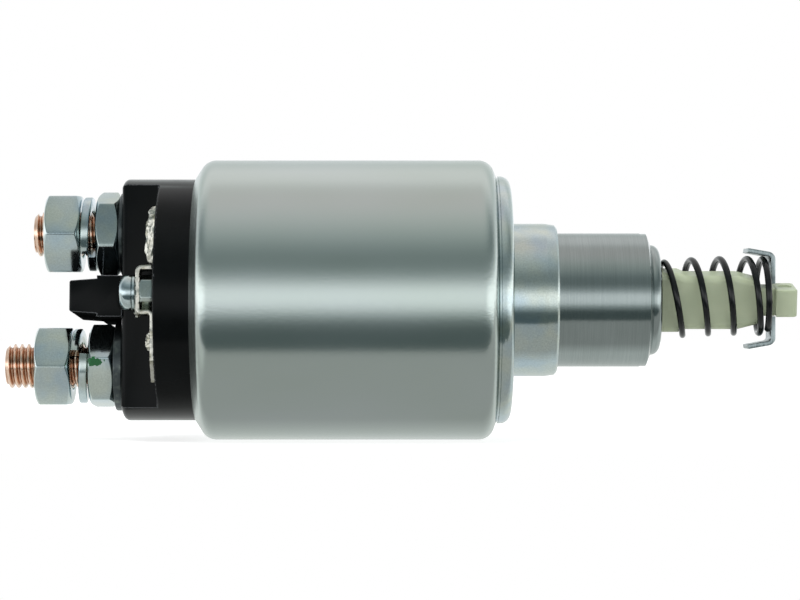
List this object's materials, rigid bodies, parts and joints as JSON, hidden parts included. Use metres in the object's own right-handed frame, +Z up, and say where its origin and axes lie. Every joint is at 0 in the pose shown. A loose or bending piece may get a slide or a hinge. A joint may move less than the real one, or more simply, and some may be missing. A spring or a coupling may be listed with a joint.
{
  "type": "starter solenoid",
  "caption": "Cylindrical starter solenoid with a flanged neck, sprung plunger and pull rod, and a moulded cap carrying threaded terminal studs.",
  "frame": {"origin": "centre of the mounting face of the front plate, on the plunger axis", "axes": "+X along the plunger axis towards the tip of the pull rod, +Z up along the line of the studs (the cap is turned 4.8 degrees from it), -Y towards the control terminal"},
  "size_m": [0.1764, 0.0624, 0.0624],
  "materials": {
    "satin_zinc_can": "zinc plated, satin brushed round the axis",
    "bright_zinc": "bright zinc plate, blue passivated",
    "ground_iron": "ground soft iron, lightly oiled",
    "bare_iron": "turned",
    "black_spring_steel": "black oxide",
    "brass_tube": "drawn",
    "copper": "rolled thread, bare copper",
    "enamelled_wire": "enamelled copper wire",
    "tinned_copper": "hot tinned, soldered",
    "dark_washer": "dull dark zinc",
    "black_phenolic": "moulded phenolic, semi-gloss",
    "moulded_nylon": "moulded glass-filled nylon",
    "pale_nylon": "moulded nylon, pale grey-green",
    "insulating_laminate": "pressed laminate",
    "rubber_seal": "moulded"
  },
  "bodies": {
    "housing": {"housing_can": "satin_zinc_can", "front_plate": "bright_zinc", "guide_tube": "brass_tube", "coil_bobbin": "moulded_nylon", "pull_in_winding": "enamelled_wire", "hold_in_winding": "enamelled_wire", "fixed_core": "bare_iron", "cap_gasket": "rubber_seal", "return_spring": "black_spring_steel", "contact_return_spring": "black_spring_steel", "switch_cap": "black_phenolic", "upper_stud": "copper", "upper_washer": "dark_washer", "upper_lock_nut": "bright_zinc", "upper_spring_washer": "bright_zinc", "upper_nut": "bright_zinc", "lower_stud": "copper", "lower_washer": "dark_washer", "lower_lock_nut": "bright_zinc", "lower_spring_washer": "bright_zinc", "lower_nut": "bright_zinc", "control_nut": "bright_zinc", "control_strap": "tinned_copper", "control_washer": "bright_zinc", "control_screw": "bright_zinc", "upper_winding_lead": "tinned_copper", "lower_winding_lead": "tinned_copper", "upper_solder_lug": "tinned_copper", "lower_solder_lug": "tinned_copper"},
    "plunger": {"plunger": "ground_iron", "plunger_plug": "bare_iron", "lost_motion_spring": "black_spring_steel"},
    "pull_rod": {"pull_rod": "pale_nylon", "rod_stop_washer": "bare_iron", "rod_circlip": "black_spring_steel", "spring_retainer": "bright_zinc"},
    "switch_pin": {"switch_pin": "bare_iron", "pin_clip": "black_spring_steel", "contact_pressure_spring": "black_spring_steel"},
    "contact_bridge": {"contact_bridge": "copper", "bridge_bush": "insulating_laminate", "bridge_rear_washer": "insulating_laminate"}
  },
  "joints": [
    {"name": "plunger_slide", "type": "slide", "parent": "housing", "child": "plunger", "axis": [-1, 0, 0], "range_m": [0, 0.012], "stiffness_N_per_m": 1500, "springref_m": -0.01, "deforming": ["return_spring"]},
    {"name": "rod_slide", "type": "slide", "parent": "plunger", "child": "pull_rod", "axis": [-1, 0, 0], "range_m": [0, 0.006], "stiffness_N_per_m": 800, "springref_m": -0.012, "deforming": ["lost_motion_spring"]},
    {"name": "switch_pin_slide", "type": "slide", "parent": "housing", "child": "switch_pin", "axis": [-1, 0, 0], "range_m": [0, 0.004], "stiffness_N_per_m": 600, "springref_m": -0.004, "deforming": ["contact_return_spring"]},
    {"name": "bridge_slide", "type": "slide", "parent": "switch_pin", "child": "contact_bridge", "axis": [1, 0, 0], "range_m": [0, 0.001], "deforming": ["contact_pressure_spring"]}
  ],
  "couplings": [
    {"joint": "switch_pin_slide", "follows": "plunger_slide", "ratio": 0.33333},
    {"joint": "bridge_slide", "follows": "plunger_slide", "ratio": 0.083333}
  ]
}
